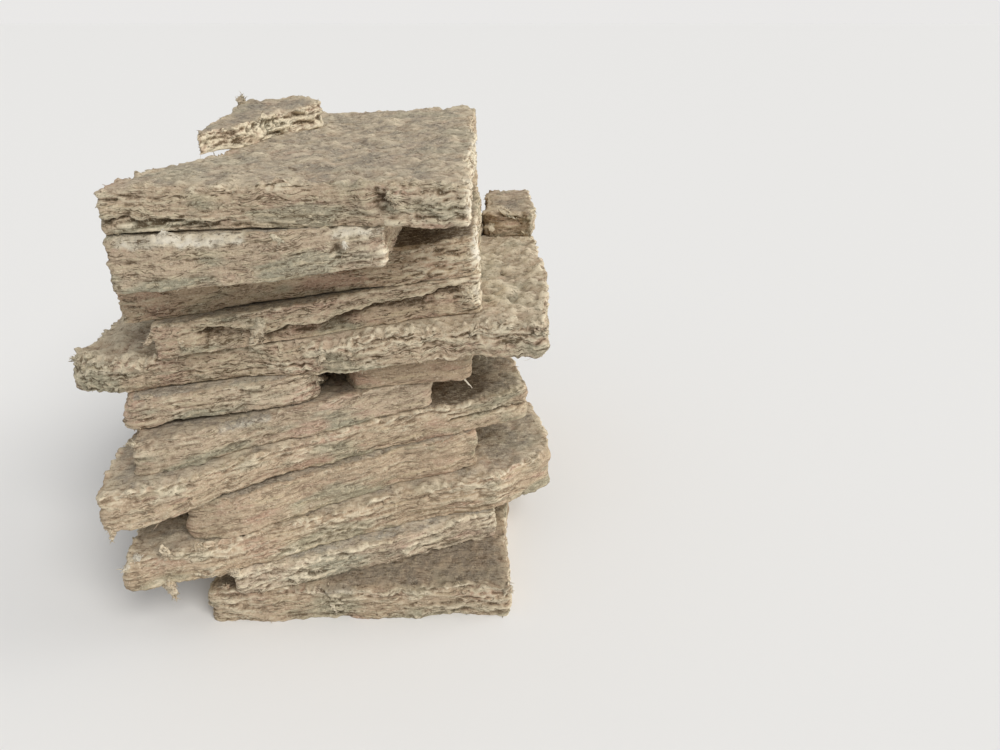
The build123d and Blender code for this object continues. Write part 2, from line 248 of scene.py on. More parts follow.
# Tuft: a loose clump: where it is rooted, which way and how far it hangs, how wide it spreads
# and how many flakes it has; bleached ones are white.
Tuft = namedtuple("Tuft", "at hang spread flakes bleached")
TUFTS = rows_of(Tuft, {
    "torn_top_leaf": [((-158, 130, 614), (3, 4, 12), 7, 40, 0)],
    "slab_01": [((134, -294, 568), (6, -6, -14), 8, 120, 0.15),
        ((203, -101, 574), (9, -3, -9), 4, 16, 0),
        ((123, -298, 524), (-2, -2, -13), 2.5, 10, 0.3)],
    "slab_02": [((-125, -301, 520), (3, -4, -3), 8, 90, 2.4),
        ((-1, -302, 519), (16, -3, -7), 4, 26, 0.2), ((77, -297, 511), (2, -4, -8), 3, 24, 0.8)],
    "slab_04": [((-46, -257, 397), (-15, -7, -34), 9.5, 90, 0),
        ((206, -221, 428), (15, -8, -24), 7.5, 80, 0.1),
        ((-183, -257, 380), (-14, -4, -16), 5, 30, 0),
        ((-149, -255, 372), (4, -3, -12), 4, 20, 0)],
    "slab_05": [((-318, -205, 322), (-4, -3, 4), 8, 30, 0),
        ((-299, -210, 332), (-3, -3, 8), 7, 30, 0), ((301, -255, 385), (8, -4, 8), 9, 50, 0),
        ((273, 55, 397), (6, -2, 11), 9, 50, 0), ((63, -250, 356), (5, -4, -10), 4, 20, 0),
        ((31, -247, 352), (-7, -4, -7), 4, 20, 0)],
    "rear_offcut": [((232, 138, 400), (27, -12, 38), 12, 90, 0.3),
        ((263, 145, 436), (4, -2, 7), 14, 50, 0.3)],
    "front_offcut": [((-197, -267, 302), (-34, 8, -16), 8, 60, 0),
        ((-193, -261, 288), (-30, 10, -30), 7, 50, 0), ((11, -251, 312), (12, -3, -3), 5, 40, 0)],
    "slab_06": [((207, -224, 300), (11, -2, -12), 1.2, 3, 0.6)],
    "slab_07": [((-205, -319, 262), (-10, -3, 4), 4, 30, 0.2)],
    "slab_08": [((-228, -364, 166), (-2, -2, -15), 6, 40, 0.1)],
    "slab_10": [((-171, -378, 88), (7, -2, -26), 9, 80, 0.1),
        ((-208, -381, 136), (-3, -3, 2), 7, 60, 1.0),
        ((-211, -383, 118), (-9, -3, -7), 3, 20, 0.6),
        ((-174, -357, 128), (12, -4, 2), 11, 60, 0.1),
        ((-134, -350, 131), (12, -4, 2), 9, 50, 0.1)],
    "slab_11": [((-91, -361, 88), (-6, -3, 6), 7, 50, 0.1)],
    "slab_12": [((263, -335, 44), (9, -3, -3), 11, 70, 0.3),
        ((25, -341, 22), (5, -3, -10), 3, 20, 0.4), ((-111, -343, 50), (-5, -3, 4), 8, 40, 0.1)],
})

# Foot: how far the bottom of a front face stands out past its top, and how far the underside
# sags there, or gapes where that is negative, at places in x; all in mm.
Foot = namedtuple("Foot", "x out sag")
FEET = rows_of(Foot, {
    "slab_01": [(-195, 0, 0), (-150, 0, -3), (-20, 0, -3), (30, 0, 0)],
    "slab_03": [(-130, 0, 0), (-60, 0, -2.5), (60, 0, -2), (160, 0, 0)],
    "slab_04": [(-190, 0, 0), (-140, 0, -2.5), (-40, 0, -2), (20, 0, 0)],
    "slab_05": [(-325, 6, 0), (-289, 14, 0), (-253, 7, 0), (-190, 0, -1), (-100, 0, -2),
        (-20, 0, 0)],
    "front_offcut": [(-216, 9, -1), (-180, 4, -4), (-132, 6, -4.5), (-80, 5, -3.5), (-8, 0, -1)],
    "slab_07": [(-205, 8, 0), (-185, 11, 0), (-126, 10, 0), (-100, 2, 0), (-74, 0, 0)],
    "slab_08": [(-237, 3, 6), (-209, 5, 11), (-179, 7, 9), (-154, 6, 5), (-140, 6, 2),
        (-110, 3, -3), (-45, 0, -3), (20, 0, 0)],
    "slab_09": [(-147, 8, 0), (-130, 11, 0), (-90, 12, 0), (-34, 7, 0), (66, 0, 0)],
    "slab_10": [(-218, 8, 0), (-198, 10, 0), (-130, 7, 0), (-94, 8, 0), (6, 0, 0)],
    "slab_12": [(-135, 4, 0), (66, 4, 0), (128, 2, 0), (260, 0, 0)],
})


# --------------------------------------------------------------------- noise
# Each kind of relief adds up noise of a few sizes: for each the share, the size of its lumps
# in mm (one size, or along and across the layers, or in x, y and z) and its place in the noise.
NOISES = {
    "outline": ((0.8, 85, 3.1), (0.5, 30, 7.7)),
    "torn patches": ((0.6, (60, 30), 11.3), (0.4, (22, 12), 5.9)),
    "top patches": ((0.5, (35, 30), 19.0), (0.4, 12, 29.0)),
    "torn tops": ((0.6, 50, 27.0),),
    "top bend x": ((7 * MM, 30, 23.0),),
    "top bend y": ((7 * MM, 30, 25.0),),
    "top waves": ((0.8, 55, 21.0),),
    "top hollows": ((0.5, (22, 15, 1000), 4.4),),
    "top grain": ((1, (8.5, 6.5, 1000), 9.2),),
    "large pits": ((1, (17, 9, 1000), 15.5),),
    "small pits": ((1, (9, 5.5, 1000), 16.5),),
    "top lumps": ((1, (34, 17, 1000), 33.0), (0.7, (15, 9, 1000), 35.0), (0.5, (7, 5, 1000), 37.0)),
    "crumble waves": ((0.9, 40, 55.0),),
    "crumble": ((0.9, 16, 51.0), (0.7, 8, 53.0)),
    "layer waves": ((4.5 * MM, (100, 50), 31.0),),
    "layer ripples": ((1.6 * MM, (28, 20), 47.0),),
    "fibres": ((0.75, (45, 4.8), 1.7), (0.95, (18, 3.6), 13.0), (0.9, (7.5, 2.9), 17.0)),
    "fine fibres": ((0.35, 3.4, 19.0),),
    "long cracks": ((1, (60, 4), 57.0),),
    "short cracks": ((1, (15, 3.2), 61.0),),
    "layers": ((1, (70, 8.5), 67.0),),
    "clump bend x": ((9 * MM, (30, 16), 71.0),),
    "clump bend y": ((9 * MM, (30, 16), 73.0),),
    "clump bend z": ((4.5 * MM, (30, 16), 75.0),),
    "clumps": ((0.75, (34, 13), 77.0), (0.70, (16, 7), 79.0), (0.50, (8, 4.2), 81.0)),
    "fine clumps": ((0.30, 3.8, 83.0),),
    "large steps": ((1, (52, 8.8), 85.0),),
    "small steps": ((1, (22, 5.5), 87.0),),
    "scoops": ((1, (75, 30), 37.0), (0.5, (30, 17), 41.0)),
    "upper arris": ((0.8, 26, 101.0), (0.6, 9, 5.0)),
    "lower arris": ((1.1, 30, 113.0),),
    "bites": ((1, (22, 12), 127.0),),
    "lip": ((0.8, 13, 119.0), (0.6, 5.5, 121.0)),
    "fold radius": ((0.25, 20, 107.0),),
    "fold edge": ((0.3, 12, 109.0),),
    "fold patches": ((0.6, 20, 111.0), (0.3, 7, 112.0)),
    "rough marks": ((0.5, 6, 131.0),),
    "bleached patches": ((0.45, 10, 137.0),),
    "crack line": ((2.2 * MM, 24, 171.0), (1.5 * MM, 9, 173.0)),
    "crack reach": ((0.6, 40, 175.0),),
    "crack opening": ((0.8, 20, 177.0),),
    "crack lip": ((1, 12, 179.0),),
    "crack setback": ((0.5, 50, 181.0),),
    "frayed": ((1, 40, 221.0), (0.7, 14, 223.0)),
    "tuft ridges": ((1.6, 6, 211.0),),
    "tuft bumps": ((0.7, 3, 213.0), (0.7, 12, 215.0)),
    "tuft pull": ((0.12, 6, 217.0),),
}


class Noise:
    """Smooth seeded gradient noise, about -1 to 1, at arrays of points."""

    def __init__(self, seed):
        rng = np.random.default_rng(seed)
        order = rng.permutation(256)
        self.order = np.concatenate([order, order, order])
        self.slopes = unit(rng.normal(size=(256, 3)))

    def __call__(self, kind, points):
        """A kind of relief at the points."""
        return sum(share * self.at(points, size, place) for share, size, place in NOISES[kind])

    def at(self, points, size, place):
        """Noise of one size, in mm, read at a place of its own."""
        if np.ndim(size) and len(size) == 2:
            size = (size[0], *size)
        p = points / (np.asarray(size) * MM) + place
        base = np.floor(p)
        f = p - base
        i = base.astype(np.int64) & 255
        s = f * f * f * (f * (f * 6 - 15) + 10)
        total = np.zeros(len(p))
        for corner in range(8):
            d = np.array([corner & 1, (corner >> 1) & 1, corner >> 2])
            h = self.order[self.order[self.order[i[:, 0] + d[0]] + i[:, 1] + d[1]] + i[:, 2] + d[2]]
            slope = np.einsum("ij,ij->i", f - d, self.slopes[h])
            total += np.prod(np.where(d, s, 1 - s), axis=1) * slope
        return total * 1.55


def unit(vectors):
    """The vectors, each with length 1."""
    return vectors / np.linalg.norm(vectors, axis=1, keepdims=True)


def smooth_step(low, high, value):
    """0 at low, 1 at high and a soft step between them."""
    t = np.clip((value - low) / (high - low), 0, 1)
    return t * t * (3 - 2 * t)


def between(low, high, past, within, value):
    """1 between two places, fading from past them to within them."""
    return (smooth_step(low - past, low + within, value)
            * smooth_step(high + past, high - within, value))


# ------------------------------------------------------ reading the CAD nodes
def rim(bm, side):
    """The closed outline where the top (side 1) or underside (side -1) meets the cut faces."""
    links = {}
    for edge in bm.edges:
        if len(edge.link_faces) != 2:
            continue
        # at the rim one face lies flat and the other stands up
        heights = sorted((face.normal.z * side for face in edge.link_faces), reverse=True)
        if heights[0] > 0.6 and abs(heights[1]) < 0.5:
            a, b = edge.verts
            links.setdefault(a, []).append(b)
            links.setdefault(b, []).append(a)
    loops, seen = [], set()
    for start in links:
        loop, here = [], start
        while here not in seen:
            seen.add(here)
            loop.append(here.co.to_tuple())
            here = next((v for v in links[here] if v not in seen), here)
        if loop:
            loops.append(np.array(loop))
    loop = max(loops, key=lambda points: abs(area(points)))
    return loop if area(loop) > 0 else loop[::-1]


def area(points):
    """Area inside a loop, above 0 if it runs anticlockwise."""
    x, y = points[:, 0], points[:, 1]
    return 0.5 * float(np.sum(x * np.roll(y, -1) - np.roll(x, -1) * y))


class Sheet:
    """A bent top or underside: its height at any x and y, fitted to a rim of the CAD node."""

    def __init__(self, points):
        self.centre = points[:, :2].mean(axis=0)
        self.fit = np.linalg.lstsq(self.terms(points[:, :2]), points[:, 2], rcond=None)[0]

    def terms(self, xy):
        x, y = (xy - self.centre).T
        return np.stack([np.ones_like(x), x, x * x, y, y * y, x * y, y ** 3], axis=1)

    def __call__(self, xy):
        return self.terms(xy) @ self.fit


def read_node(name):
    """Outline, underside and top of a CAD node."""
    bm = bmesh.new()
    bm.from_mesh(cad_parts[name].data)
    bmesh.ops.remove_doubles(bm, verts=bm.verts, dist=WELD)
    low, high = rim(bm, -1), rim(bm, 1)
    bm.free()
    return high[:, :2], Sheet(low), Sheet(high)


NODES = {name: read_node(name) for name in BOARDS}


# ------------------------------------------------------------- closed loops
def onward(loop):
    """The next point of each point."""
    return np.roll(loop, -1, axis=0)


def runs(loop):
    """Distance of each point to the next."""
    return np.linalg.norm(onward(loop) - loop, axis=1)


def measured(steps):
    """Where each point stands along the loop, and the whole length."""
    return np.concatenate([[0], np.cumsum(steps)])


def spaced(loop, along, count):
    """A number of points at even spaces in a measure along the loop."""
    at = np.arange(count) * along[-1] / count
    closed = np.vstack([loop, loop[:1]])
    return np.stack([np.interp(at, along, closed[:, k]) for k in range(2)], axis=1)


def outward(loop):
    """Unit normals of an anticlockwise loop."""
    run = unit(onward(loop) - np.roll(loop, 1, axis=0))
    return np.stack([run[:, 1], -run[:, 0]], axis=1)


def blurred(loop, reach, step):
    """The loop, its points a step apart, smoothed over a reach."""
    half = int(3 * reach / step)
    kernel = np.exp(-0.5 * (np.arange(-half, half + 1) * step / reach) ** 2)
    kernel /= kernel.sum()
    wrapped = np.concatenate([loop[-half:], loop, loop[:half]])
    return np.stack([np.convolve(wrapped[:, k], kernel, mode="valid") for k in range(2)], axis=1)


def inside(points, loop):
    """Which points lie inside the loop."""
    x, y = points[:, 0][:, None], points[:, 1][:, None]
    (x0, y0), (x1, y1) = loop.T, onward(loop).T
    span = (y0 > y) != (y1 > y)
    with np.errstate(divide="ignore", invalid="ignore"):
        cross = x < (x1 - x0) * (y - y0) / (y1 - y0) + x0
    return (span & cross).sum(axis=1) % 2 == 1


def distance_to(points, loop):
    """Distance of each point from the line of the loop."""
    run = onward(loop) - loop
    square = np.maximum((run * run).sum(axis=1), 1e-12)
    best, batch = [], 4000
    for start in range(0, len(points), batch):
        p = points[start:start + batch][:, None, :] - loop
        t = np.clip((p * run).sum(axis=2) / square, 0, 1)
        best.append(np.sqrt(((p - t[..., None] * run) ** 2).sum(axis=2)).min(axis=1))
    return np.concatenate(best) if best else np.zeros(0)


def crossed(loop):
    """Which runs of the loop cross another of its runs."""
    a, b = loop, onward(loop)

    def side(p, q, r):
        return ((q[:, 0] - p[:, 0])[:, None] * (r[None, :, 1] - p[:, 1][:, None])
                - (q[:, 1] - p[:, 1])[:, None] * (r[None, :, 0] - p[:, 0][:, None]))

    split = side(a, b, a) * side(a, b, b) < 0
    return (split & split.T).any(axis=1)


def ledge_lines(loop, normal, reach):
    """Unit directions and lengths along which the loop can shrink without crossing itself."""
    run, ahead = runs(loop), onward(loop) - loop
    along = measured(run)
    apart = np.abs(along[:-1, None] - along[None, :-1])
    apart = np.minimum(apart, along[-1] - apart)
    near = np.exp(-0.5 * (apart / (1.25 * reach)) ** 2) * run
    near /= near.sum(axis=1, keepdims=True)

    def spread(line):
        """How far the points run on along the loop, as a share of their spaces."""
        return ((onward(line) - line) * ahead).sum(axis=1) / run ** 2

    def evened(length):
        """Lengths that pass softly into each other, the short ones counting most."""
        return (near @ length ** -4) ** -0.25

    way = unit(near @ normal)
    length = evened(np.minimum(reach, 0.7 / np.maximum(spread(way), 1e-6)))
    # shorten the lines where the inner loop comes near the outer one, folds or crosses itself
    for _ in range(16):
        inner = loop - way * length[:, None]
        close = (distance_to(inner, loop) < 0.55 * length) | (spread(inner) < 0.1) | crossed(inner)
        if not close.any():
            break
        length = evened(np.where(close, 0.6 * length, length))
    return way, length


# ------------------------------------------------------- making a wool board
def worn_outline(name, noise, shape):
    """The board's outline with rounded corners and slow waves, in mesh columns."""
    step, corner = 1.0 * MM, 7.0 * MM
    loop = NODES[name][0]
    along = measured(runs(loop))
    loop = blurred(spaced(loop, along, int(round(along[-1] / step))), corner, step)
    wave = noise("outline", np.column_stack([loop, np.zeros(len(loop))]))
    loop = loop + outward(loop) * (wave * shape.waviness)[:, None]
    facing = outward(loop)[:, 1]
    wide = np.where(facing < -0.35, shape.column_front,
                    np.where(facing > 0.5, shape.column_back, shape.column_side))
    columns = measured(runs(loop) / wide)
    return spaced(loop, columns, int(columns[-1]))


def covered(points, names, margin=0.0):
    """Which points lie over or under one of the named boards, by more than a margin."""
    hidden = np.zeros(len(points), dtype=bool)
    for loop in (NODES[name][0] for name in names):
        within = inside(points, loop)
        if margin:
            within[within] = distance_to(points[within], loop) > margin
        hidden |= within
    return hidden


def local_mean(grid, rows, columns):
    """Mean of a wall grid over a window; the columns run round."""
    for axis, half, mode in ((0, rows, "edge"), (1, columns, "wrap")):
        pads = [(0, 0), (0, 0)]
        pads[axis] = (half + 1, half)
        total = np.cumsum(np.pad(grid, pads, mode=mode), axis=axis)
        size = 2 * half + 1
        grid = (np.take(total, range(size, total.shape[axis]), axis)
                - np.take(total, range(0, total.shape[axis] - size), axis)) / size
    return grid


def row_shares(thick, row):
    """Heights of the mesh rows as shares of the thickness, closer together at the arrises."""
    below = np.array([0, 0.25, 0.8]) * row
    above = np.array([3.0, 2.1, 1.35, 0.75, 0.3, 0.06, 0]) * row
    middle = np.linspace(below[-1], thick - above[0],
                         max(4, int(round((thick - above[0] - below[-1]) / row))))
    return np.concatenate([below[:-1], middle, thick - above[1:]]) / thick


def around(points, mark):
    """How near points are to a mark: 0 at its place, 1 at its reach, and so on."""
    return (((points - np.array(mark.at) * MM) / (np.array(mark.reach) * MM)) ** 2).sum(axis=1)


def at_front(normal):
    """Which points of a wall look towards the front."""
    return normal[:, 1] < -0.3


class WoolBoard:
    """One board: the cut faces as a grid of rows and columns, closed by a top and an underside."""

    def __init__(self, name, shape):
        self.name, self.shape, self.board = name, shape, BOARDS[name]
        self.noise = Noise(self.board.seed)
        self.under, self.over = NODES[name][1:]
        self.loop = worn_outline(name, self.noise, shape)
        self.normal = outward(self.loop)
        self.inward, self.room = ledge_lines(self.loop, self.normal, shape.ledge)
        self.faces = []
        self.co, self.layered, self.cavity, self.torn, self.skin = [], [], [], [], []

    def keep(self, *values):
        """Add points: place, place in the layers, cavity (painted shade and highlight for the
        colour), how torn and how much skin.
        """
        for kept, value in zip((self.co, self.layered, self.cavity, self.torn, self.skin), values):
            kept.append(value)

    def count(self):
        """How many points the board has so far."""
        return sum(len(part) for part in self.co)

    def add_quads(self, index, side=1):
        """Faces between the rows of a grid of points whose columns run round."""
        index = np.asarray(index)
        ahead = np.roll(index, -1, axis=1)
        quads = np.stack([index[:-1], ahead[:-1], ahead[1:], index[1:]], axis=-1).reshape(-1, 4)
        self.faces += quads[:, ::side].tolist()

    def on_rows(self, values):
        """Values round the outline, repeated on each row of the wall."""
        return np.tile(values, (self.rows + 1,) + (1,) * (values.ndim - 1))

    def marks(self, table):
        """The rows that a table holds for this board."""
        return table.get(self.name, ())

    # how far the outline and the faces are worn
    def torn_at(self, points, crumbs):
        """How torn the wool is at the points, 0 to 1."""
        patches = self.noise("torn patches", points)
        torn = smooth_step(0.35, 0.95, patches + self.board.torn + crumbs)
        for mark in self.marks(MARKS):
            torn = np.maximum(torn, np.exp(-0.6 * around(points, mark)) * (0.8 + 0.5 * patches))
        return np.clip(torn, 0, 1)

    def face_height(self, xy, side):
        """Height of the top (side 1) or underside (side -1), with relief where it shows."""
        noise, board = self.noise, self.board
        flat = np.column_stack([xy, np.full(len(xy), 0.5 * side)])
        sheet, others = (self.over, board.above) if side > 0 else (self.under, board.below)
        on_floor = side < 0 and not others
        bare = 0.0 if on_floor else 1.0 - covered(xy, others)
        depth = self.shape.top_depth * (0.5 + 1.3 * board.top_torn)
        bent = flat + np.stack([noise("top bend x", flat), noise("top bend y", flat),
                                np.zeros(len(flat))], axis=1)
        grain = noise("top grain", bent)
        relief = noise("top waves", flat) + noise("top hollows", bent) + 0.45 * grain
        pits = 1.5 * smooth_step(0.40, 0.72, noise("large pits", bent))
        pits += 0.8 * smooth_step(0.35, 0.7, noise("small pits", bent))
        if side > 0:
            crumble = board.crumbly * np.exp(-distance_to(xy, self.loop) / (14 * MM))
            crumble *= noise("crumble waves", flat) + noise("crumble", bent) - 0.35
            relief = relief + crumble * 3.0 * MM / depth
        torn = smooth_step(0.3, 0.9, board.top_torn + noise("torn tops", flat))
        lumps = noise("top lumps", bent) * 1.1 * torn
        # the cavity paints shade into the pits and low grain and a highlight onto the lumps and
        # raised grain
        dark_pits = pits * (1 + 2 * max(0, board.top_torn - 0.8))
        cavity = grain * 0.7 - dark_pits + lumps * 0.7
        share = 1.0 if side > 0 else -0.4
        return sheet(xy) + share * bare * depth * (relief - pits + lumps), cavity * bare

    def fibre_relief(self, layered):
        """Matted fibre layers of a cut face, the short cracks between them, and the layers."""
        noise = self.noise
        bent = layered.copy()
        bent[:, 2] += noise("layer waves", layered) + noise("layer ripples", layered)
        fibres = noise("fibres", bent) + noise("fine fibres", layered)
        long_cracks, short_cracks = (smooth_step(0.50, 0.85, noise(kind, bent))
                                     for kind in ("long cracks", "short cracks"))
        return fibres, long_cracks + 0.45 * short_cracks, noise("layers", bent)

    def clumps(self, layered):
        """Torn wool: ragged clumps drawn out along the layers, and layers torn off in steps."""
        noise = self.noise
        bent = layered + np.stack([noise("clump bend " + k, layered) for k in "xyz"], axis=1)
        ragged = noise("clumps", bent) + noise("fine clumps", layered)
        steps = smooth_step(-0.10, 0.12, noise("large steps", bent))
        steps += 0.6 * smooth_step(-0.10, 0.14, noise("small steps", bent))
        return ragged, steps - 0.8

    def folds(self, world, normal, edge_top, upper):
        """Where the skin of the top bends down over the arris: its radius, skin and paleness."""
        noise, flat = self.noise, world * (1, 1, 0)
        skin, pale = np.zeros(len(world)), np.zeros(len(world))
        for fold in self.marks(FOLDS):
            here = between(fold.start, fold.end, 0, 8, world[:, 0] / MM) * at_front(normal)
            radius = fold.radius * MM * (1 + noise("fold radius", flat))
            upper = upper * (1 - here) + radius * here
            band = here * smooth_step(1.3, 0.8, edge_top / radius + noise("fold edge", world))
            skin = np.maximum(skin, band)
            patches = np.clip(0.85 + noise("fold patches", world), 0.3, 1.1)
            pale = np.maximum(pale, band * fold.pale * patches)
        return upper, skin, pale

    def foot(self, xy, normal):
        """How far the bottom of the front face stands out, and how far its underside sags."""
        feet = self.marks(FEET)
        if not feet:
            return np.zeros(len(xy)), np.zeros(len(xy))
        at, out, sag = np.array(feet).T * MM
        front = smooth_step(0.1, 0.6, -normal[:, 1])
        out = np.interp(xy[:, 0], at, out) * front
        sag = np.interp(xy[:, 0], at, sag) * np.maximum(front, 0.5)
        return out, np.where(sag > 0, sag * ~covered(xy, self.board.below), sag)

    def crack(self, mark, world, normal):
        """Push of a split along the front, how torn it makes the wool and how much painted shade
        darkens the recess under it.
        """
        noise, flat, x = self.noise, world * (1, 1, 0), world[:, 0]
        line = np.array(mark.line) * MM
        ragged = 1 + mark.setback / 20
        near = world[:, 2] - np.interp(x, *line.T) - ragged * noise("crack line", flat)
        reach = between(line[0, 0], line[-1, 0], 6 * MM, 12 * MM, x) * at_front(normal)
        reach = reach * np.clip(0.8 + noise("crack reach", flat), 0.2, 1.3)
        opening = mark.opening * MM * np.clip(1 + noise("crack opening", flat), 0.3, 2)
        slot = np.exp(-(near / (opening * 0.6)) ** 2)
        below = smooth_step(0.5 * MM, -0.8 * MM, near)
        below = below * np.clip(1 + near / (mark.band * MM), 0, 1)
        lip = np.exp(-((near - 3.0 * MM) / (3.0 * MM)) ** 2) * (1 + noise("crack lip", flat))
        setback = mark.setback * MM * np.clip(1 + noise("crack setback", flat), 0.4, 1.5)
        push = -slot * mark.depth * MM - below * setback + lip * (1.2 + 0.12 * mark.setback) * MM
        loose = 0.5 * reach * np.exp(-np.abs(near) / (4 * MM))
        # the last value is painted shade for the recess under the split
        return push * reach, loose, 1.1 * reach * below * min(mark.setback / 10, 1)

    # the mesh
    def wall(self):
        """Cut faces: rows from the underside to the top, columns round the outline."""
        shape, noise, board = self.shape, self.noise, self.board
        low, high = (self.face_height(self.loop, side)[0] for side in (-1, 1))
        shares = row_shares(float(np.median(high - low)), shape.row)
        self.rows, self.columns = len(shares) - 1, len(self.loop)
        level = np.repeat(shares, self.columns)
        tall = self.on_rows(high - low)
        rise = level * tall
        edge_top = tall - rise
        xy, normal = self.on_rows(self.loop), self.on_rows(self.normal)
        out, sag = self.foot(xy, normal)
        z = self.on_rows(low) + rise - sag * (1 - level)
        layered, world = np.column_stack([xy, rise]), np.column_stack([xy, z])
        flat = world * (1, 1, 0)

        crumbs = np.exp(-edge_top / (6 * MM)) * board.crumbly * 0.6
        torn = self.torn_at(world, crumbs)
        fibres, cracks, layers = self.fibre_relief(layered)
        lumps, steps = self.clumps(layered)
        upper = shape.upper_arris * np.clip(1 + noise("upper arris", flat), 0.25, 2.6)
        upper, skin, pale = self.folds(world, normal, edge_top, upper)
        lower = shape.lower_arris * np.clip(1 + noise("lower arris", flat), 0.2, 2.6)
        if not board.below:
            lower = lower * 0.5
        calm = skin * 0.85
        for mark in self.marks(CALM):
            calm = np.maximum(calm, 0.65 * smooth_step(1.5, 0.5, around(world, mark)))

        # relief, all of it as a push outwards; each kind has a share on firm wool and one on torn
        fine = fibres * shape.fibre_depth * (1 - 0.35 * torn)
        fine -= cracks * shape.crack_depth * (1 - 0.6 * torn)
        fine += lumps * shape.lump_depth * (0.12 + 0.95 * torn)
        fine += steps * shape.step_depth * (0.22 + 0.78 * torn)
        fine *= 1 - calm
        ends = smooth_step(0.5, 0.85, np.abs(normal[:, 0]))
        push = fine + noise("scoops", world) * shape.scoop_depth
        push += layers * shape.layer_step * (0.35 + 0.35 * ends)
        bites = smooth_step(0.25, 0.6, noise("bites", world)) * shape.bite_depth
        push -= bites * np.exp(-edge_top / (5 * MM)) * (1 - skin) * (0.3 + board.crumbly)
        push -= bites * np.exp(-rise / (4 * MM)) * (0.7 if board.below else 0.0)
        # quarter rounds at the arrises; lean says how far a point has turned up or down
        lean = np.zeros(len(world))
        for edge, radius, way in ((edge_top, upper, 1), (rise, lower, -1)):
            t = np.clip(1 - edge / radius, 0, 1)
            push -= radius * (1 - np.sqrt(1 - t * t))
            lean += t * way
        push += noise("lip", flat) * 2.8 * MM * np.exp(-rise / (3.5 * MM))
        for mark in self.marks(MARKS):
            moved = np.exp(-around(world, mark)) * mark.push * MM
            moved *= 1 + noise("rough marks", world)
            push += moved
            fine += moved * 0.6
        # painted shade in the recesses under cracks, taken off the cavity so that the colour
        # darkens there
        shade = np.zeros(len(world))
        for mark in self.marks(CRACKS):
            cut, loose, recess = self.crack(mark, world, normal)
            push += cut
            fine += cut * 0.45
            shade += recess
            torn = np.maximum(torn, loose)

        # cavities and raised places, for the colours: painted shade in the hollows, painted
        # highlight on the raised places
        grid = fine.reshape(self.rows + 1, self.columns)
        near, wide = grid - local_mean(grid, 3, 3), grid - local_mean(grid, 8, 9)
        cavity = np.clip(near / (1.2 * MM) + wide / (4.5 * MM), -2, 2).ravel()
        inner = smooth_step(0, 3 * MM, np.minimum(rise, edge_top))
        cavity = np.where(cavity < 0, cavity * inner, cavity) - shade
        # pale places: bleached wool, and painted highlight on the lit right ends
        for mark in self.marks(PALE_AND_LIT):
            patches = 0.85 + noise("bleached patches", world)
            pale = np.maximum(pale, mark.push * patches * np.exp(-around(world, mark) ** 2))

        # on the rounded arrises the fine relief points up or down instead of out
        upright = np.clip(np.abs(lean), 0, 1)
        push -= fine * (1 - np.sqrt(1 - 0.96 * upright ** 2))
        # wool goes in by about half of the ledge's room at an arris, and by more away from it
        for edge in (edge_top, rise):
            push = np.maximum(push, -0.55 * self.on_rows(self.room) * (1 + edge / (5 * MM)))
        push += out * (1 - level)
        lift = np.clip(fine, -1.5 * MM, 1.8 * MM) * lean * 0.8 * smooth_step(0.0, 0.8 * MM, rise)
        lift += fibres * 0.4 * MM * (1 - upright)
        lift = np.where(lean < 0, np.maximum(lift, -0.2 * MM), lift)
        co = np.column_stack([xy + normal * push[:, None], z + lift])
        self.keep(co, layered, cavity, np.maximum(torn, pale), skin)
        self.add_quads(np.arange(len(co)).reshape(self.rows + 1, self.columns))
        return co

    def face_points(self, xy, side, from_rim):
        """Points of the top or underside, with what keep() takes."""
        height, cavity = self.face_height(xy, side)
        co = np.column_stack([xy, height])
        layered = np.column_stack([xy, height - self.under(xy)])
        crumbs = 0.8 * self.board.crumbly * np.exp(-from_rim / (16 * MM))
        torn = smooth_step(0.4, 1.1, self.board.top_torn + self.noise("top patches", co) + crumbs)
        # painted shade in the dark gaps: it deepens the cavity, which darkens the colour, and keeps
        # the wool there from showing pale
        for mark in self.marks(GAP_SHADE):
            gap_shade = mark.push * np.exp(-around(co, mark))
            cavity = cavity - gap_shade
            torn = torn * np.exp(-gap_shade)
        return co, layered, cavity, torn, 1 - 0.75 * torn

    def ledge(self, wall_co, side):
        """Rows that run inwards from the arris over the top (side 1) or underside (side -1)."""
        top = side > 0
        before = np.arange(self.columns) + (self.rows * self.columns if top else 0)
        rim_co = wall_co[before]
        rim_rise = rim_co[:, 2] - self.face_height(rim_co[:, :2], side)[0]
        rim_values = [part[0][before] for part in (self.cavity, self.torn, self.skin)]
        for share in TOP_LEDGE if top else UNDER_LEDGE:
            from_rim = self.room * share
            xy = self.loop - self.inward * from_rim[:, None]
            xy = xy + (rim_co[:, :2] - self.loop) * (1 - share)
            co, layered, *values = self.face_points(xy, side, from_rim)
            co[:, 2] += rim_rise * (1 - share)
            ids = self.count() + np.arange(self.columns)
            blend = smooth_step(0, 0.6, share)
            self.keep(co, layered, *(inner * blend + outer * (1 - blend)
                                     for inner, outer in zip(values, rim_values)))
            self.add_quads([before, ids], side)
            before = ids
        return before, xy

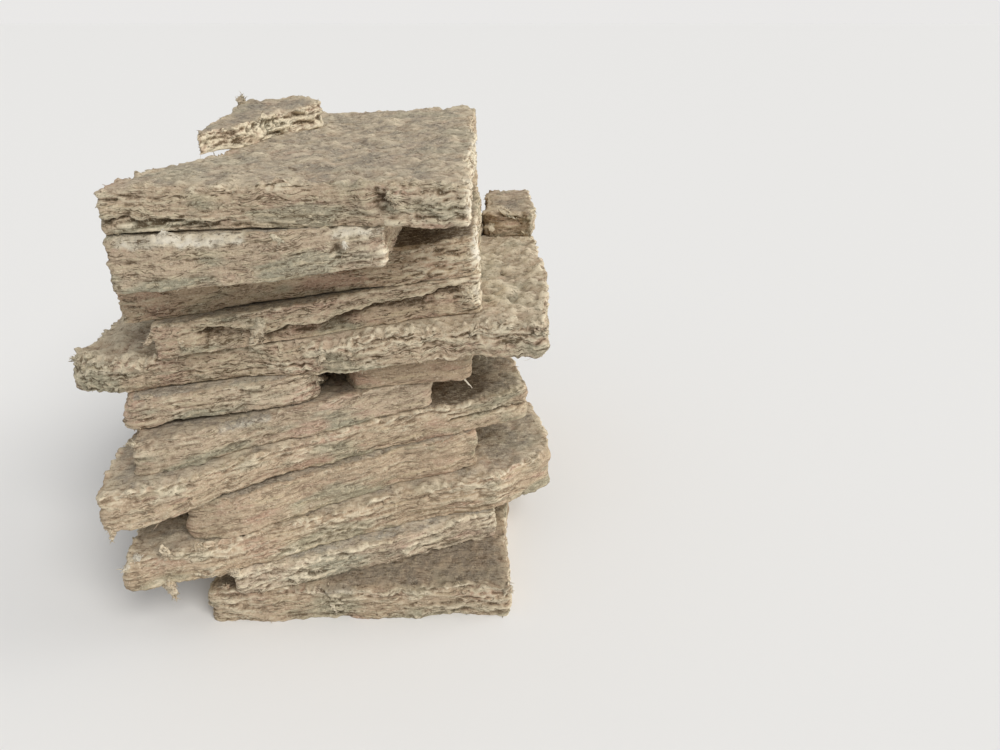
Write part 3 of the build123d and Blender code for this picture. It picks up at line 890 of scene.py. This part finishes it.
    def lid(self, wall_co, side):
        """Top (side 1) or underside (side -1), finer where it shows."""
        edge_ids, edge = self.ledge(wall_co, side)
        others = self.board.above if side > 0 else self.board.below
        cell, wide = self.shape.top_cell, self.shape.hidden_cell
        if side < 0:
            cell = cell * 2 if others else wide
        low, high = edge.min(axis=0), edge.max(axis=0)
        points = []
        for size, want_hidden in ((cell, False), (wide, True)):
            grid = np.stack(np.meshgrid(np.arange(low[0], high[0], size),
                                        np.arange(low[1], high[1], size * EVEN_ROW)), axis=-1)
            grid[1::2, :, 0] += size / 2
            grid = grid.reshape(-1, 2)
            level = np.column_stack([grid, np.full(len(grid), 0.7)])
            grid = grid + size * JITTER * np.stack(
                [self.noise.at(level, size * 1.3 / MM, place) for place in (3.3, 8.8)], axis=1)
            grid = grid[covered(grid, others, COVER) == want_hidden]
            grid = grid[inside(grid, edge)]
            points.append(grid[distance_to(grid, edge) > size * 0.5])
        inner = np.concatenate(points)
        # the edge's runs are kept, so that the lid meets the ledge point by point
        round_edge = [(i, (i + 1) % len(edge)) for i in range(len(edge))]
        corners, _, faces, origin = delaunay_2d_cdt(
            [Vector(p) for p in np.concatenate([edge, inner])], round_edge, [], 1, 1e-7, True)[:4]
        if not all(origin):
            raise RuntimeError(f"{self.name}: the outline crosses itself")
        first = self.count() - len(edge)
        ids = [int(edge_ids[i[0]]) if i[0] < len(edge) else first + i[0] for i in origin]
        middles = np.array([np.mean([corners[v] for v in face], axis=0) for face in faces])
        for face, within in zip(faces, inside(middles, edge)):
            if within:
                self.faces.append([ids[v] for v in face][::side])
        self.keep(*self.face_points(inner, side, distance_to(inner, self.loop)))

    def flakes(self, wall_co):
        """Frayed flakes that stand out of the arrises and torn places, and the loose tufts."""
        rng = np.random.default_rng(self.board.seed + FLAKE_SEED)
        torn = np.minimum(self.torn[0], 1)
        level = np.repeat(np.linspace(0, 1, self.rows + 1), self.columns)
        front = self.on_rows(np.where(self.normal[:, 1] < 0.3, 1.0, 0.35))
        clusters = smooth_step(-0.1, 0.7, self.noise("frayed", wall_co))
        weight = (0.10 + 1.3 * torn ** 2 + 1.1 * (level > 0.93) + 1.1 * (level < 0.04)) * front
        weight = weight * (0.12 + clusters)
        number = int(self.shape.flakes * runs(self.loop).sum() * (0.8 + 0.7 * self.board.torn))
        pick = rng.choice(len(weight), size=number, replace=False, p=weight / weight.sum())
        # each flake leaves the wall at a slant, runs mostly along it and droops a little
        level_ways = np.column_stack([self.normal, np.zeros(self.columns)])
        normal = self.on_rows(level_ways)
        out = normal[pick]
        along = np.column_stack([-out[:, 1], out[:, 0], out[:, 2]])
        direction = unit(out * rng.uniform(0.1, 0.75, number)[:, None]
                         + along * rng.normal(0, 1.0, number)[:, None]
                         + np.array([0, 0, 1]) * rng.normal(-0.1, 0.5, number)[:, None])
        strand = rng.random(number) < STRANDS
        size = self.shape.flake_length * rng.lognormal(0, 0.4, number) * np.where(strand, 2.0, 1)
        width = np.where(strand, 0.35, rng.uniform(0.8, 2.4, number)) * MM
        self.add_flakes(wall_co[pick] - out * 1.0 * MM, direction, size, width, 0.45, rng)
        for tuft in self.marks(TUFTS):
            away = (wall_co - np.array(tuft.at) * MM) * (1, 0.2, 1)
            nearest = int(np.argmin((away ** 2).sum(axis=1)))
            self.add_tuft(tuft, wall_co[nearest] - normal[nearest] * 0.3 * tuft.spread * MM, rng)

    def add_tuft(self, tuft, root, rng):
        """A torn lump that tapers the way it hangs from its root, with short flakes round it."""
        hang = np.array(tuft.hang) * MM
        reach = np.linalg.norm(hang)
        axis = hang / reach
        side = np.cross(axis, (0.3, 1.0, 0.2))
        side /= np.linalg.norm(side)
        front = np.cross(axis, side)
        rings, spokes = 20, 18
        t = np.repeat(np.linspace(0.02, 0.98, rings), spokes)
        turn = np.tile(np.arange(spokes) * 2 * np.pi / spokes, rings)
        swell = np.sqrt(np.clip(t * 4, 0, 1)) * (1 - t) ** 0.6 * 1.15
        out = side * np.cos(turn)[:, None] + front * np.sin(turn)[:, None] * 0.6
        co = root + axis * (reach * (1.15 * t - 0.15))[:, None]
        co = co + out * (tuft.spread * MM * swell)[:, None]
        where = co + tuft.flakes * MM
        bumps = np.abs(self.noise("tuft ridges", where)) + self.noise("tuft bumps", where) - 0.3
        height = bumps * (0.25 + 0.75 * np.minimum(swell, 1)) * tuft.spread * 0.55 * MM
        co = co + out * height[:, None]
        co += axis * (self.noise("tuft pull", where) * reach)[:, None]
        co[:, 2] = np.maximum(co[:, 2], FLOOR_GAP)
        index = self.count() + np.arange(rings * spokes).reshape(rings, spokes)
        self.add_quads(index)
        self.faces += [index[0][::-1].tolist(), index[-1].tolist()]
        loose = 0.75 + 2 * tuft.bleached
        # the bumps go in as cavity: painted shade between the ridges, painted highlight on them
        self.keep(co, co, np.clip(bumps, -1, 1), np.full(len(co), loose), np.zeros(len(co)))
        pick = rng.choice(len(co), size=min(tuft.flakes, len(co)), replace=False)
        direction = unit(out[pick] * 0.5 + axis * 0.8 + rng.normal(0, 0.5, (len(pick), 3)))
        size = self.shape.flake_length * rng.lognormal(0, 0.4, len(pick))
        self.add_flakes(co[pick] - out[pick] * 0.8 * MM, direction, size,
                        rng.uniform(0.8, 2.2, len(pick)) * MM, loose, rng)

    def add_flakes(self, root, direction, size, width, torn, rng):
        """Closed, flattened, tapering slips, each with three rings of three points and a tip."""
        number = len(root)
        side = unit(np.cross(direction, rng.normal(size=(number, 3))))
        face = np.cross(direction, side)
        curl = face * rng.normal(0, 0.35, number)[:, None]
        curl = curl + side * rng.normal(0, 0.3, number)[:, None]
        curl[:, 2] -= 0.12
        points = []
        for t, wide in ((0.0, 0.8), (0.38, 1.0), (0.74, 0.6)):
            centre = root + direction * (size * t)[:, None] + curl * (size * t * t)[:, None]
            half = (width * wide * 0.5)[:, None]
            thin = np.minimum(half * 0.6, 0.55 * MM) + 0.06 * MM
            points += [centre + side * half, centre - side * half * 0.6 + face * thin,
                       centre - side * half * 0.6 - face * thin]
        points.append(root + (direction + curl) * size[:, None])
        co = np.stack(points, axis=1)
        co[..., 2] = np.maximum(co[..., 2], FLOOR_GAP)
        shell = [[2, 1, 0]]
        for k, n in ((0, 1), (1, 2), (2, 0)):
            shell += [[k, n, 3 + n, 3 + k], [3 + k, 3 + n, 6 + n, 6 + k], [6 + k, 6 + n, 9]]
        bases = self.count() + len(points) * np.arange(number)
        for slip in shell:
            self.faces += (bases[:, None] + np.array(slip)).tolist()
        flat = co.reshape(-1, 3)
        # cavity along each flake: painted shade at the root, painted highlight towards the tip
        lift = np.tile([-0.5] * 3 + [0.2] * 3 + [0.5] * 3 + [0.7], number)
        self.keep(flat, flat, lift, np.full(len(flat), torn), np.zeros(len(flat)))

    def finish(self, material):
        """The board as one object, with the attributes that its material reads."""
        mesh = bpy.data.meshes.new(self.name + "_wool")
        mesh.from_pydata(np.concatenate(self.co).tolist(), [], self.faces)
        mesh.validate()
        upward = np.empty(3 * len(mesh.vertices), dtype=np.float32)
        mesh.vertices.foreach_get("normal", upward)
        upward = upward[2::3]
        values = {name: np.concatenate(getattr(self, name))
                  for name in ("layered", "cavity", "torn", "skin")}
        values["brown"] = np.full(len(upward), self.board.brown)
        values["calm"] = np.full(len(upward), self.board.calm)
        # painted shade on the faces that look up: their colour is darkened
        values["dust"] = self.board.dust * smooth_step(0.35, 0.85, upward)
        values["flat"] = smooth_step(0.45, 0.80, np.abs(upward))
        for name, numbers in values.items():
            kind, key = ("FLOAT", "value") if numbers.ndim == 1 else ("FLOAT_VECTOR", "vector")
            attribute = mesh.attributes.new(name, kind, "POINT")
            attribute.data.foreach_set(key, numbers.astype(np.float32).ravel())
        mesh.shade_smooth()
        piece = bpy.data.objects.new("wool_" + self.name, mesh)
        bpy.context.scene.collection.objects.link(piece)
        mesh.materials.append(material)
        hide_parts(self.name)
        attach(piece, "root")


def make_boards(names):
    """Make the wool pieces that stand for the named CAD nodes."""
    material = wool_material()
    for name in names:
        board = WoolBoard(name, bpy.context.scene.wool_shape)
        wall_co = board.wall()
        board.lid(wall_co, 1)
        board.lid(wall_co, -1)
        board.flakes(wall_co)
        board.finish(material)


# ----------------------------------------------------------------- materials
class Nodes:
    """Short calls for building a node tree."""

    def __init__(self, tree):
        self.tree = tree
        tree.nodes.clear()

    def new(self, kind, **settings):
        """A node of a kind, with its settings."""
        node = self.tree.nodes.new(kind)
        for key, value in settings.items():
            setattr(node, key, value)
        return node

    def feed(self, socket, value):
        """Link an output to the input, or set its value."""
        if isinstance(value, bpy.types.NodeSocket):
            self.tree.links.new(value, socket)
        else:
            socket.default_value = value

    def math(self, operation, a, b=0.0, clamp=False):
        node = self.new("ShaderNodeMath", operation=operation, use_clamp=clamp)
        self.feed(node.inputs[0], a)
        self.feed(node.inputs[1], b)
        return node.outputs[0]

    def times(self, a, b, clamp=False):
        return self.math("MULTIPLY", a, b, clamp)

    def ramp(self, value, low, high, at_high=1.0, at_low=0.0):
        """A soft ramp between two values, with what it gives at each."""
        node = self.new("ShaderNodeMapRange", interpolation_type="SMOOTHSTEP")
        for socket, v in zip(node.inputs[:5], (value, low, high, at_low, at_high)):
            self.feed(socket, v)
        return node.outputs[0]

    def mix(self, factor, a, b, blend="MIX"):
        """Two colours mixed; inputs 0, 6 and 7 are the factor and the colours."""
        node = self.new("ShaderNodeMix", data_type="RGBA", blend_type=blend)
        for k, value in ((0, factor), (6, a), (7, b)):
            self.feed(node.inputs[k], value)
        return node.outputs[2]

    def noise(self, vector, scale, detail=2.0, roughness=0.5, shift=(0, 0, 0)):
        """Noise at a scale, which is one number or one for each of x, y and z."""
        even = isinstance(scale, float)
        mapping = self.new("ShaderNodeMapping")
        mapping.inputs["Scale"].default_value = (1, 1, 1) if even else scale
        mapping.inputs["Location"].default_value = shift
        self.feed(mapping.inputs["Vector"], vector)
        node = self.new("ShaderNodeTexNoise")
        for key, value in (("Vector", mapping.outputs[0]), ("Scale", scale if even else 1.0),
                           ("Detail", detail), ("Roughness", roughness)):
            self.feed(node.inputs[key], value)
        return node.outputs[0]

    def warped(self, vector, reach, scale):
        """The vector with its height bent up and down by noise."""
        bend = self.times(self.math("SUBTRACT", self.noise(vector, scale), 0.5), reach)
        parts, whole = self.new("ShaderNodeSeparateXYZ"), self.new("ShaderNodeCombineXYZ")
        self.feed(parts.inputs[0], vector)
        for k, value in enumerate((parts.outputs[0], parts.outputs[1],
                                   self.math("ADD", parts.outputs[2], bend))):
            self.feed(whole.inputs[k], value)
        return whole.outputs[0]

    def crease(self, vector, scale, width, shift=(0, 0, 0)):
        """Thin wavy lines, 1 on the line: the places where noise passes its middle value."""
        value = self.noise(vector, scale, 1.5, shift=shift)
        away = self.math("ABSOLUTE", self.math("SUBTRACT", value, 0.5))
        return self.ramp(away, 0.0, width, 0.0, 1.0)


def new_group(name, inputs, outputs):
    """A shader node group with its node helper and its two ends. Of its named inputs, those
    with a number are values, those with four are colours, and those with None are vectors."""
    group = bpy.data.node_groups.new(name, "ShaderNodeTree")
    for in_out, sockets in (("INPUT", inputs), ("OUTPUT", outputs)):
        for label, value in sockets.items():
            kind = "Vector" if value is None else "Float" if isinstance(value, float) else "Color"
            socket = group.interface.new_socket(label, in_out=in_out,
                                                socket_type="NodeSocket" + kind)
            if value is not None:
                socket.default_value = value
    n = Nodes(group)
    return group, n, n.new("NodeGroupInput").outputs, n.new("NodeGroupOutput").inputs


def fibre_group():
    """Fine fibre relief: short streaks on cut faces, matted felt on tops."""
    group, n, s, end = new_group(
        "Wool Fibres",
        {"Layered": None, "Position": None, "Skin": 0.0, "Torn": 0.0, "Flat": 0.0},
        {"Height": 0.0, "Crease": 0.0})
    layered, position = s["Layered"], s["Position"]
    streak = n.noise(layered, (105, 105, 460), 4.0, 0.62)
    hairs = n.noise(layered, (260, 260, 800), 3.0, 0.6, (3, 1, 7))
    felt = n.noise(position, (396, 198, 330), 4.0, 0.65)
    coarse = n.noise(position, (144, 60, 120), 3.0, 0.6, (600, 240, 1080))
    # inputs 0, 2 and 3 of a mix of numbers are its factor and the two numbers
    height = n.new("ShaderNodeMix", data_type="FLOAT")
    for k, value in (
            (0, n.math("MAXIMUM", s["Skin"], n.times(s["Torn"], 0.6))),
            (2, n.math("ADD", n.times(streak, 0.55), n.times(hairs, 0.45))),
            (3, n.math("ADD", n.times(felt, 0.5), n.times(coarse, 0.5)))):
        n.feed(height.inputs[k], value)
    waved = n.warped(layered, 0.016, (30, 30, 60))
    strong = n.times(n.crease(waved, (34, 34, 210), 0.045),
                     n.ramp(n.noise(layered, (26, 26, 90), 1.0, shift=(1, 6, 2)), 0.45, 0.60))
    weak = n.times(n.crease(waved, (80, 80, 430), 0.060, (4, 2, 8)),
                   n.ramp(n.noise(layered, (40, 40, 120), 1.0, shift=(6, 3, 5)), 0.40, 0.62, 0.7))
    # the crease mask sinks the bump and, in the colour, paints shade into the creases
    crease = n.times(n.math("MAXIMUM", strong, weak), n.ramp(s["Flat"], 0.0, 1.0, 0.0, 1.0))
    crease = n.times(crease, n.ramp(s["Torn"], 1.0, 1.7, 0.15, 1.0))
    n.feed(end["Crease"], crease)
    n.feed(end["Height"], n.math("SUBTRACT", height.outputs[0], n.times(crease, 0.22)))
    return group


def colour_group():
    """Patchy wool colour from the tones, the cavities, the torn mask and the skin mask, with
    painted shade and highlight from the cavities and creases and painted shade on the faces that
    look up.
    """
    colours = bpy.context.scene.wool_colours
    tones = {colours.bl_rna.properties[key].name: (*getattr(colours, key), 1.0)
             for key in WoolPileColours.__annotations__}
    group, n, s, end = new_group(
        "Wool Colour",
        {"Layered": None, "Position": None, "Cavity": 0.0, "Torn": 0.0, "Skin": 0.0,
         "Brown": 0.0, "Dust": 0.0, "Calm": 0.0, "Flat": 0.0, "Fibre": 0.5, "Crease": 0.0, **tones},
        {"Colour": (0.5, 0.5, 0.5, 1.0)})
    layered, position = s["Layered"], s["Position"]
    light, pale, crevice = s["Light"], s["Pale"], s["Crevice"]
    felted = n.math("MAXIMUM", s["Skin"], n.times(s["Flat"], 0.8))
    patch = n.noise(layered, (13, 13, 42), 3.0, 0.55)
    band = n.noise(layered, (12, 12, 190), shift=(2, 9, 4))
    mossy = n.noise(layered, (11, 11, 34), 2.5, 0.55, (8, 3, 1))
    blotch = n.noise(position, 38.0, 3.0, 0.6, (4, 4, 1))
    speck = n.noise(position, 430.0, 2.0, 0.7)
    fleck = n.noise(position, (102, 289, 170), 4.0, 0.65, (1190, 170, 510))
    height = n.new("ShaderNodeSeparateXYZ")
    n.feed(height.inputs[0], layered)
    low_down = n.ramp(height.outputs[2], 0.030, 0.004, 0.05)

    def layered_on(colour, *coats):
        """The colour with coats mixed over it, each a share and a tone."""
        for share, tone in coats:
            colour = n.mix(share, colour, tone)
        return colour

    skin_tone = n.mix(n.ramp(blotch, 0.48, 0.66, 0.45), s["Skin Tone"], s["Tan"])
    colour = layered_on(
        s["Tan"],
        (n.ramp(patch, 0.50, 0.66, 0.65), s["Warm"]),
        (n.ramp(n.math("ADD", mossy, low_down), 0.50, 0.66, 0.75), s["Moss"]),
        (n.ramp(band, 0.52, 0.70, 0.5), light),
        (n.times(s["Skin"], 0.85), skin_tone))
    browned = n.mix(1.0, colour, (0.93, 0.83, 0.70, 1), "MULTIPLY")
    colour = n.mix(n.times(s["Brown"], 0.75), colour, browned)
    loose = n.times(s["Torn"], n.ramp(s["Cavity"], -0.6, 0.6, 0.75), clamp=True)
    plain = layered_on(colour, (0.13, crevice), (loose, pale))
    white = n.mix(0.5, pale, (0.85, 0.83, 0.78, 1))
    colour = layered_on(
        colour,
        (n.ramp(s["Fibre"], 0.50, 0.66, 0.75), light),
        # painted highlight on the raised places, from the cavity
        (n.ramp(s["Cavity"], 0.1, 1.2, 0.75), light),
        (loose, pale),
        (n.ramp(s["Fibre"], 0.48, 0.30, 0.75), crevice),
        # painted shade in the hollows, gaps and crack recesses, from the cavity
        (n.ramp(s["Cavity"], -0.3, -1.9, 0.85), crevice),
        # painted shade in the fine creases
        (n.times(s["Crease"], 0.60), crevice),
        (n.times(s["Calm"], 0.70), plain),
        (n.ramp(speck, 0.56, 0.70, 0.55), pale),
        (n.ramp(speck, 0.42, 0.30, 0.45), crevice),
        (n.ramp(s["Torn"], 1.2, 2.6, 0.9), white),
        (n.times(n.ramp(fleck, 0.54, 0.64, 0.65), felted), crevice),
        (n.times(n.ramp(fleck, 0.46, 0.36, 0.55), felted), pale))
    # painted shade: the top shade multiplies the colour of the faces that look up darker
    n.feed(end["Colour"], n.mix(s["Dust"], colour, (0.55, 0.51, 0.48, 1), "MULTIPLY"))
    return group


def wool_material():
    """Rough layered mineral wool."""
    name = "Layered Mineral Wool"
    if name in bpy.data.materials:
        return bpy.data.materials[name]
    material = bpy.data.materials.new(name)
    material.use_nodes = True
    n = Nodes(material.node_tree)
    fibres, colour = (n.new("ShaderNodeGroup", node_tree=group)
                      for group in (fibre_group(), colour_group()))
    values = {"Position": n.new("ShaderNodeTexCoord").outputs["Object"]}
    for key in ("layered", "cavity", "torn", "skin", "brown", "dust", "calm", "flat"):
        attribute = n.new("ShaderNodeAttribute", attribute_name=key)
        values[key.title()] = attribute.outputs["Vector" if key == "layered" else "Fac"]
    values["Fibre"], values["Crease"] = fibres.outputs["Height"], fibres.outputs["Crease"]
    for node in (fibres, colour):
        for key, value in values.items():
            if key in node.inputs:
                n.feed(node.inputs[key], value)
    bump, shader = n.new("ShaderNodeBump"), n.new("ShaderNodeBsdfPrincipled")
    for node, sockets in (
            (bump, {"Strength": 1.0, "Distance": 3.0 * MM, "Height": fibres.outputs["Height"]}),
            (shader, {"Base Color": colour.outputs["Colour"], "Normal": bump.outputs[0],
                      "Roughness": 0.95, "Specular IOR Level": 0.12}),
            (n.new("ShaderNodeOutputMaterial"), {"Surface": shader.outputs[0]})):
        for key, value in sockets.items():
            n.feed(node.inputs[key], value)
    return material


def floor_material():
    """Plain pale studio floor."""
    material = bpy.data.materials.new("Studio Floor")
    material.use_nodes = True
    shader = material.node_tree.nodes["Principled BSDF"]
    shader.inputs["Base Color"].default_value = (*bpy.context.scene.wool_stage.floor, 1)
    shader.inputs["Roughness"].default_value = 0.9
    shader.inputs["Specular IOR Level"].default_value = 0.1
    return material


# ----------------------------------------------------------------- operators
class WOOL_OT_offcuts(bpy.types.Operator):
    """Make the torn leaf on top and the two short offcuts"""
    bl_idname = "wool.offcuts"
    bl_label = "Torn Leaf and Offcuts"

    def execute(self, context):
        make_boards(("torn_top_leaf", "rear_offcut", "front_offcut"))
        return {"FINISHED"}


class WOOL_OT_upper_boards(bpy.types.Operator):
    """Make the five upper boards"""
    bl_idname = "wool.upper_boards"
    bl_label = "Upper Boards"

    def execute(self, context):
        make_boards([f"slab_{i:02d}" for i in range(1, 6)])
        return {"FINISHED"}


class WOOL_OT_lower_boards(bpy.types.Operator):
    """Make the seven lower boards"""
    bl_idname = "wool.lower_boards"
    bl_label = "Lower Boards"

    def execute(self, context):
        make_boards([f"slab_{i:02d}" for i in range(6, 13)])
        return {"FINISHED"}


class WOOL_OT_stage(bpy.types.Operator):
    """Set up the floor, the soft lights and the camera"""
    bl_idname = "wool.stage"
    bl_label = "Studio"

    def execute(self, context):
        stage = context.scene.wool_stage
        bpy.ops.object.select_all(action="DESELECT")
        bpy.ops.mesh.primitive_plane_add(size=80, location=(0, 0, 0))
        floor = context.object
        floor.name = "studio_floor"
        floor.data.materials.append(floor_material())

        for label, strength, toward_pile in (("key", stage.sun, (-0.62, 0.76, -0.95)),
                                             ("edge", stage.edge, (-1.0, -0.25, -0.16))):
            lamp = bpy.data.lights.new(label, "SUN")
            lamp.energy, lamp.angle = strength, stage.sun_angle
            lamp.color = (1.0, 0.985, 0.95)
            light = bpy.data.objects.new(label, lamp)
            context.scene.collection.objects.link(light)
            light.rotation_euler = Vector(toward_pile).to_track_quat("-Z", "Y").to_euler()

        world = context.scene.world or bpy.data.worlds.new("studio")
        context.scene.world = world
        world.use_nodes = True
        n = Nodes(world.node_tree)
        sky, seen, mix = (n.new(kind) for kind in
                          ("ShaderNodeBackground", "ShaderNodeBackground", "ShaderNodeMixShader"))
        sky.inputs[0].default_value = (0.96, 0.98, 1.0, 1)
        sky.inputs[1].default_value = stage.world
        seen.inputs[0].default_value = (*stage.floor, 1)
        n.feed(mix.inputs[0], n.new("ShaderNodeLightPath").outputs["Is Camera Ray"])
        n.feed(mix.inputs[1], sky.outputs[0])
        n.feed(mix.inputs[2], seen.outputs[0])
        n.feed(n.new("ShaderNodeOutputWorld").inputs["Surface"], mix.outputs[0])

        lens = bpy.data.cameras.new("camera")
        lens.lens = stage.lens
        lens.sensor_width = 36
        camera = bpy.data.objects.new("camera", lens)
        context.scene.collection.objects.link(camera)
        camera.location = stage.camera
        camera.rotation_euler = (radians(90) - stage.pitch, 0, 0)
        context.scene.camera = camera
        context.scene.view_settings.view_transform = "Standard"
        return {"FINISHED"}


class WOOL_PT_panel(bpy.types.Panel):
    """Lists the steps that build the pile"""
    bl_idname = "WOOL_PT_panel"
    bl_label = "Wool Pile"
    bl_space_type = "VIEW_3D"
    bl_region_type = "UI"
    bl_category = "Wool Pile"

    def draw(self, context):
        for operator in STEPS:
            self.layout.operator(operator.bl_idname)
        scene = context.scene
        for group in (scene.wool_shape, scene.wool_colours, scene.wool_stage):
            box = self.layout.box()
            for key in group.__annotations__:
                box.prop(group, key)


STEPS = (WOOL_OT_stage, WOOL_OT_offcuts, WOOL_OT_upper_boards, WOOL_OT_lower_boards)
CLASSES = (WoolPileShape, WoolPileColours, WoolPileStage) + STEPS + (WOOL_PT_panel,)


def register():
    for cls in CLASSES:
        bpy.utils.register_class(cls)
    bpy.types.Scene.wool_shape = PointerProperty(type=WoolPileShape)
    bpy.types.Scene.wool_colours = PointerProperty(type=WoolPileColours)
    bpy.types.Scene.wool_stage = PointerProperty(type=WoolPileStage)


def unregister():
    del bpy.types.Scene.wool_stage, bpy.types.Scene.wool_colours, bpy.types.Scene.wool_shape
    for cls in reversed(CLASSES):
        bpy.utils.unregister_class(cls)


def main():
    register()
    bpy.ops.wool.stage()
    bpy.ops.wool.offcuts()
    bpy.ops.wool.upper_boards()
    bpy.ops.wool.lower_boards()


if __name__ == "__main__":
    main()
